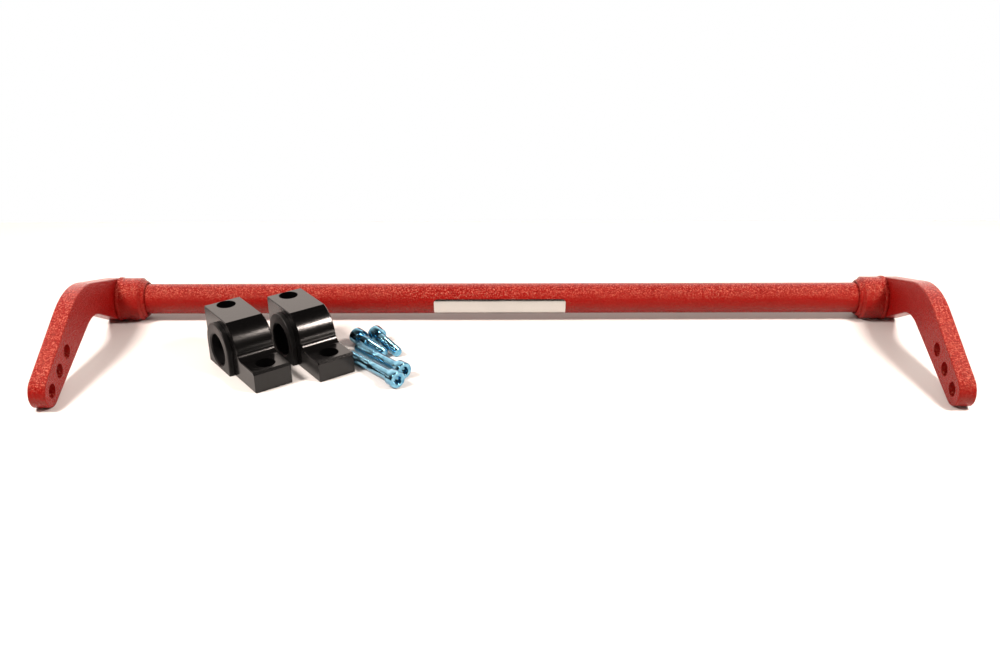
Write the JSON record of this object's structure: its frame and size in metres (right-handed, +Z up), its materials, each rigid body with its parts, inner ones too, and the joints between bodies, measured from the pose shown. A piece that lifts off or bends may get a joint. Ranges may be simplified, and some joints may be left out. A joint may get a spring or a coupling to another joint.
{
  "type": "sway bar kit",
  "caption": "Tubular anti-roll bar with welded drop arms, drilled for end links, and its loose clamp blocks with split bushings and socket head screws beside it.",
  "frame": {"origin": "bottom centre of the whole kit as it lies, on the surface it lies on", "axes": "+X along the bar, towards the right arm; +Z up; the arms reach towards -Y"},
  "size_m": [0.671, 0.1826, 0.0575],
  "materials": {
    "red_coating": "fine textured powder coat, satin",
    "black_anodised": "black anodised, glossy",
    "black_bushing": "moulded, satin",
    "zinc_plated": "blue-bright zinc plating, glossy",
    "blank_plate": "satin, blank"
  },
  "bodies": {
    "bar": {"bar_tube": "red_coating", "name_plate": "blank_plate"},
    "left_end": {"left_arm": "red_coating", "left_collar": "red_coating", "left_collar_weld": "red_coating", "left_tube_weld": "red_coating", "left_end_weld": "red_coating"},
    "right_end": {"right_arm": "red_coating", "right_collar": "red_coating", "right_collar_weld": "red_coating", "right_tube_weld": "red_coating", "right_end_weld": "red_coating"},
    "bushing_1": {"bushing_1": "black_bushing"},
    "clamp_block_1": {"clamp_block_1": "black_anodised"},
    "bushing_2": {"bushing_2": "black_bushing"},
    "clamp_block_2": {"clamp_block_2": "black_anodised"},
    "long_screw_1": {"long_screw_1": "zinc_plated"},
    "long_screw_2": {"long_screw_2": "zinc_plated"},
    "short_screw_1": {"short_screw_1": "zinc_plated"},
    "short_screw_2": {"short_screw_2": "zinc_plated"}
  },
  "joints": [
    {"name": "left_end_twist", "type": "hinge", "parent": "bar", "child": "left_end", "pos_m": [-0.3228, 0.0736, 0.0177], "axis": [1, 0, 0], "range_deg": [-6, 6], "stiffness_Nm_per_rad": 8880},
    {"name": "right_end_twist", "type": "hinge", "parent": "bar", "child": "right_end", "pos_m": [0.3228, 0.0736, 0.0177], "axis": [1, 0, 0], "range_deg": [-6, 6], "stiffness_Nm_per_rad": 8880},
    {"name": "bushing_1_lift", "type": "slide", "parent": "bar", "child": "bushing_1", "axis": [0, 0, 1], "range_m": [0, 0.08]},
    {"name": "clamp_block_1_lift", "type": "slide", "parent": "bushing_1", "child": "clamp_block_1", "axis": [0, 0, 1], "range_m": [0, 0.05]},
    {"name": "bushing_2_lift", "type": "slide", "parent": "bar", "child": "bushing_2", "axis": [0, 0, 1], "range_m": [0, 0.08]},
    {"name": "clamp_block_2_lift", "type": "slide", "parent": "bushing_2", "child": "clamp_block_2", "axis": [0, 0, 1], "range_m": [0, 0.05]},
    {"name": "long_screw_1_lift", "type": "slide", "parent": "bar", "child": "long_screw_1", "axis": [0, 0, 1], "range_m": [0, 0.06]},
    {"name": "long_screw_2_lift", "type": "slide", "parent": "bar", "child": "long_screw_2", "axis": [0, 0, 1], "range_m": [0, 0.06]},
    {"name": "short_screw_1_lift", "type": "slide", "parent": "bar", "child": "short_screw_1", "axis": [0, 0, 1], "range_m": [0, 0.06]},
    {"name": "short_screw_2_lift", "type": "slide", "parent": "bar", "child": "short_screw_2", "axis": [0, 0, 1], "range_m": [0, 0.06]}
  ],
  "couplings": [
    {"joint": "right_end_twist", "follows": "left_end_twist", "ratio": -1}
  ]
}
